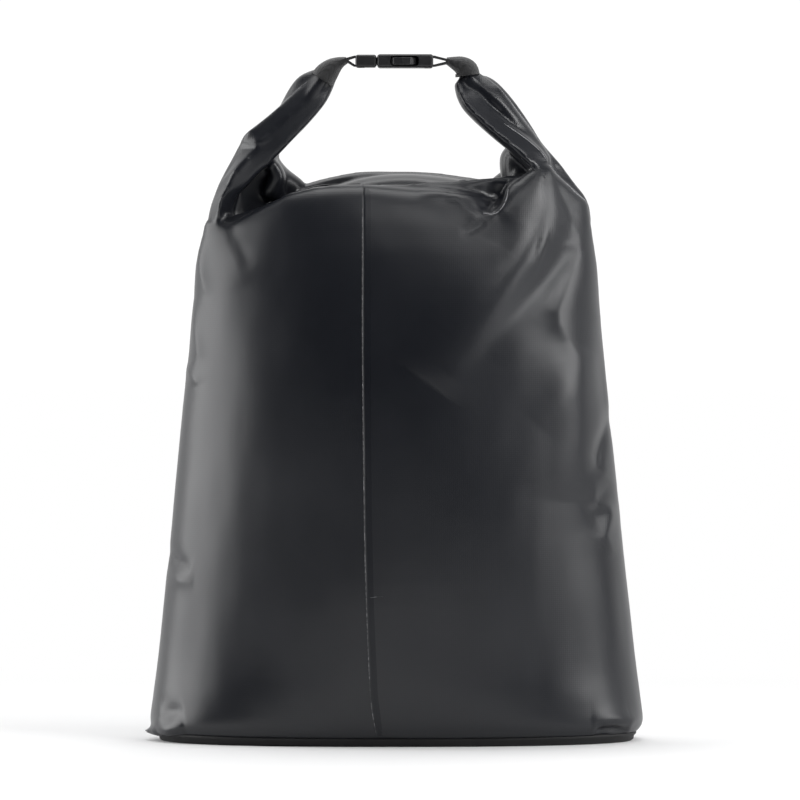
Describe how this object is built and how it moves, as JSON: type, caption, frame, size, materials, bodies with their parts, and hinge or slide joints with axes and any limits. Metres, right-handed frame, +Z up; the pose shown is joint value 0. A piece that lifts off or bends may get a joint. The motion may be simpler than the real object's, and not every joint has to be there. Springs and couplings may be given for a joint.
{
  "type": "roll-top dry bag",
  "caption": "Waterproof roll-top sack of welded tarpaulin: its rolled mouth is bent up into a carry loop and closed by a side-release buckle.",
  "frame": {"origin": "middle of the flat base, on the surface that the bag stands on", "axes": "+Z up; +X along the width, towards the buckle's socket; -Y towards the side with the vertical lap weld"},
  "size_m": [0.397, 0.2122, 0.5515],
  "materials": {
    "tarpaulin": "smooth semi-matte coated tarpaulin over a fine woven scrim",
    "stiffener_plastic": "plain extruded strip",
    "webbing": "plain-woven polyester webbing",
    "thread": "dense zigzag stitching",
    "buckle_plastic": "moulded acetal, satin"
  },
  "bodies": {
    "bag": {"body_sheet": "tarpaulin", "base_panel": "tarpaulin", "roll_centre": "tarpaulin", "mouth_stiffener": "stiffener_plastic"},
    "left_arm": {"left_arm_roll": "tarpaulin", "left_arm_fabric": "tarpaulin", "left_stiffener_end": "stiffener_plastic", "left_strap": "webbing", "left_bartack": "thread", "buckle_plug": "buckle_plastic"},
    "right_arm": {"right_arm_roll": "tarpaulin", "right_arm_fabric": "tarpaulin", "right_stiffener_end": "stiffener_plastic", "right_strap": "webbing", "right_bartack": "thread", "buckle_socket": "buckle_plastic"},
    "front_prong": {"front_prong": "buckle_plastic"},
    "back_prong": {"back_prong": "buckle_plastic"}
  },
  "joints": [
    {"name": "left_arm_pull", "type": "slide", "parent": "bag", "child": "left_arm", "axis": [-1, 0, 0], "range_m": [0, 0.045], "deforming": ["front_prong", "back_prong"]},
    {"name": "right_arm_pull", "type": "slide", "parent": "bag", "child": "right_arm", "axis": [1, 0, 0], "range_m": [0, 0.045], "deforming": ["front_prong", "back_prong"]},
    {"name": "front_prong_squeeze", "type": "hinge", "parent": "left_arm", "child": "front_prong", "pos_m": [-0.0185, -0.01, 0.546], "axis": [0, 0, 1], "range_deg": [0, 10.5], "stiffness_Nm_per_rad": 0.5},
    {"name": "back_prong_squeeze", "type": "hinge", "parent": "left_arm", "child": "back_prong", "pos_m": [-0.0185, 0.01, 0.546], "axis": [0, 0, -1], "range_deg": [0, 10.5], "stiffness_Nm_per_rad": 0.5}
  ]
}
